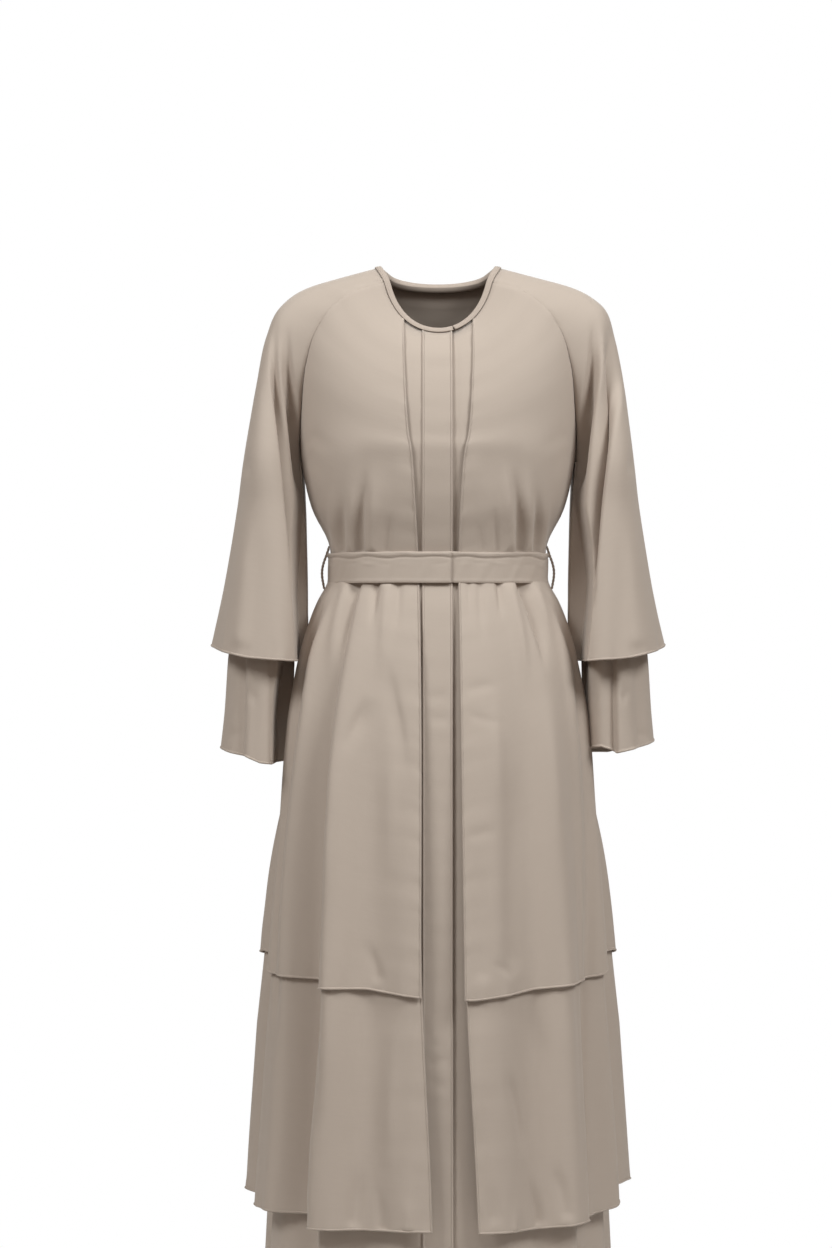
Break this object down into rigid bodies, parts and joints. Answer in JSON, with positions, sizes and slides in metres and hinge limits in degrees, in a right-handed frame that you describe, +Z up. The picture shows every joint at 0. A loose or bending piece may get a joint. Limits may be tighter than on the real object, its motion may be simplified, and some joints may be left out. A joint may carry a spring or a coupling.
{
  "type": "layered abaya",
  "caption": "Long open-layered abaya in plain sand crepe, with raglan two-tier bell sleeves, three stepped hems, a button-stand front and a flat belt, in its worn form.",
  "frame": {"origin": "midway between the two shoulder points beside the neck, at the height where the wearer's shoulders carry the garment", "axes": "+Z up, -Y to the wearer's front, +X to the wearer's left"},
  "size_m": [0.5584, 0.4049, 1.3755],
  "materials": {
    "crepe": "matt crepe, sand beige",
    "trim": "matt crepe binding and thread loops, sand beige"
  },
  "bodies": {
    "root": {"outer_front_left": "crepe", "outer_front_right": "crepe", "outer_back": "crepe", "outer_sleeve_left": "crepe", "outer_sleeve_right": "crepe", "middle_front_left": "crepe", "middle_front_right": "crepe", "middle_back": "crepe", "base_front_left": "crepe", "base_front_right": "crepe", "base_back": "crepe", "under_sleeve_left": "crepe", "under_sleeve_right": "crepe", "button_stand": "crepe", "belt": "crepe", "belt_loop_left": "trim", "belt_loop_right": "trim", "neck_binding": "trim"}
  },
  "joints": []
}
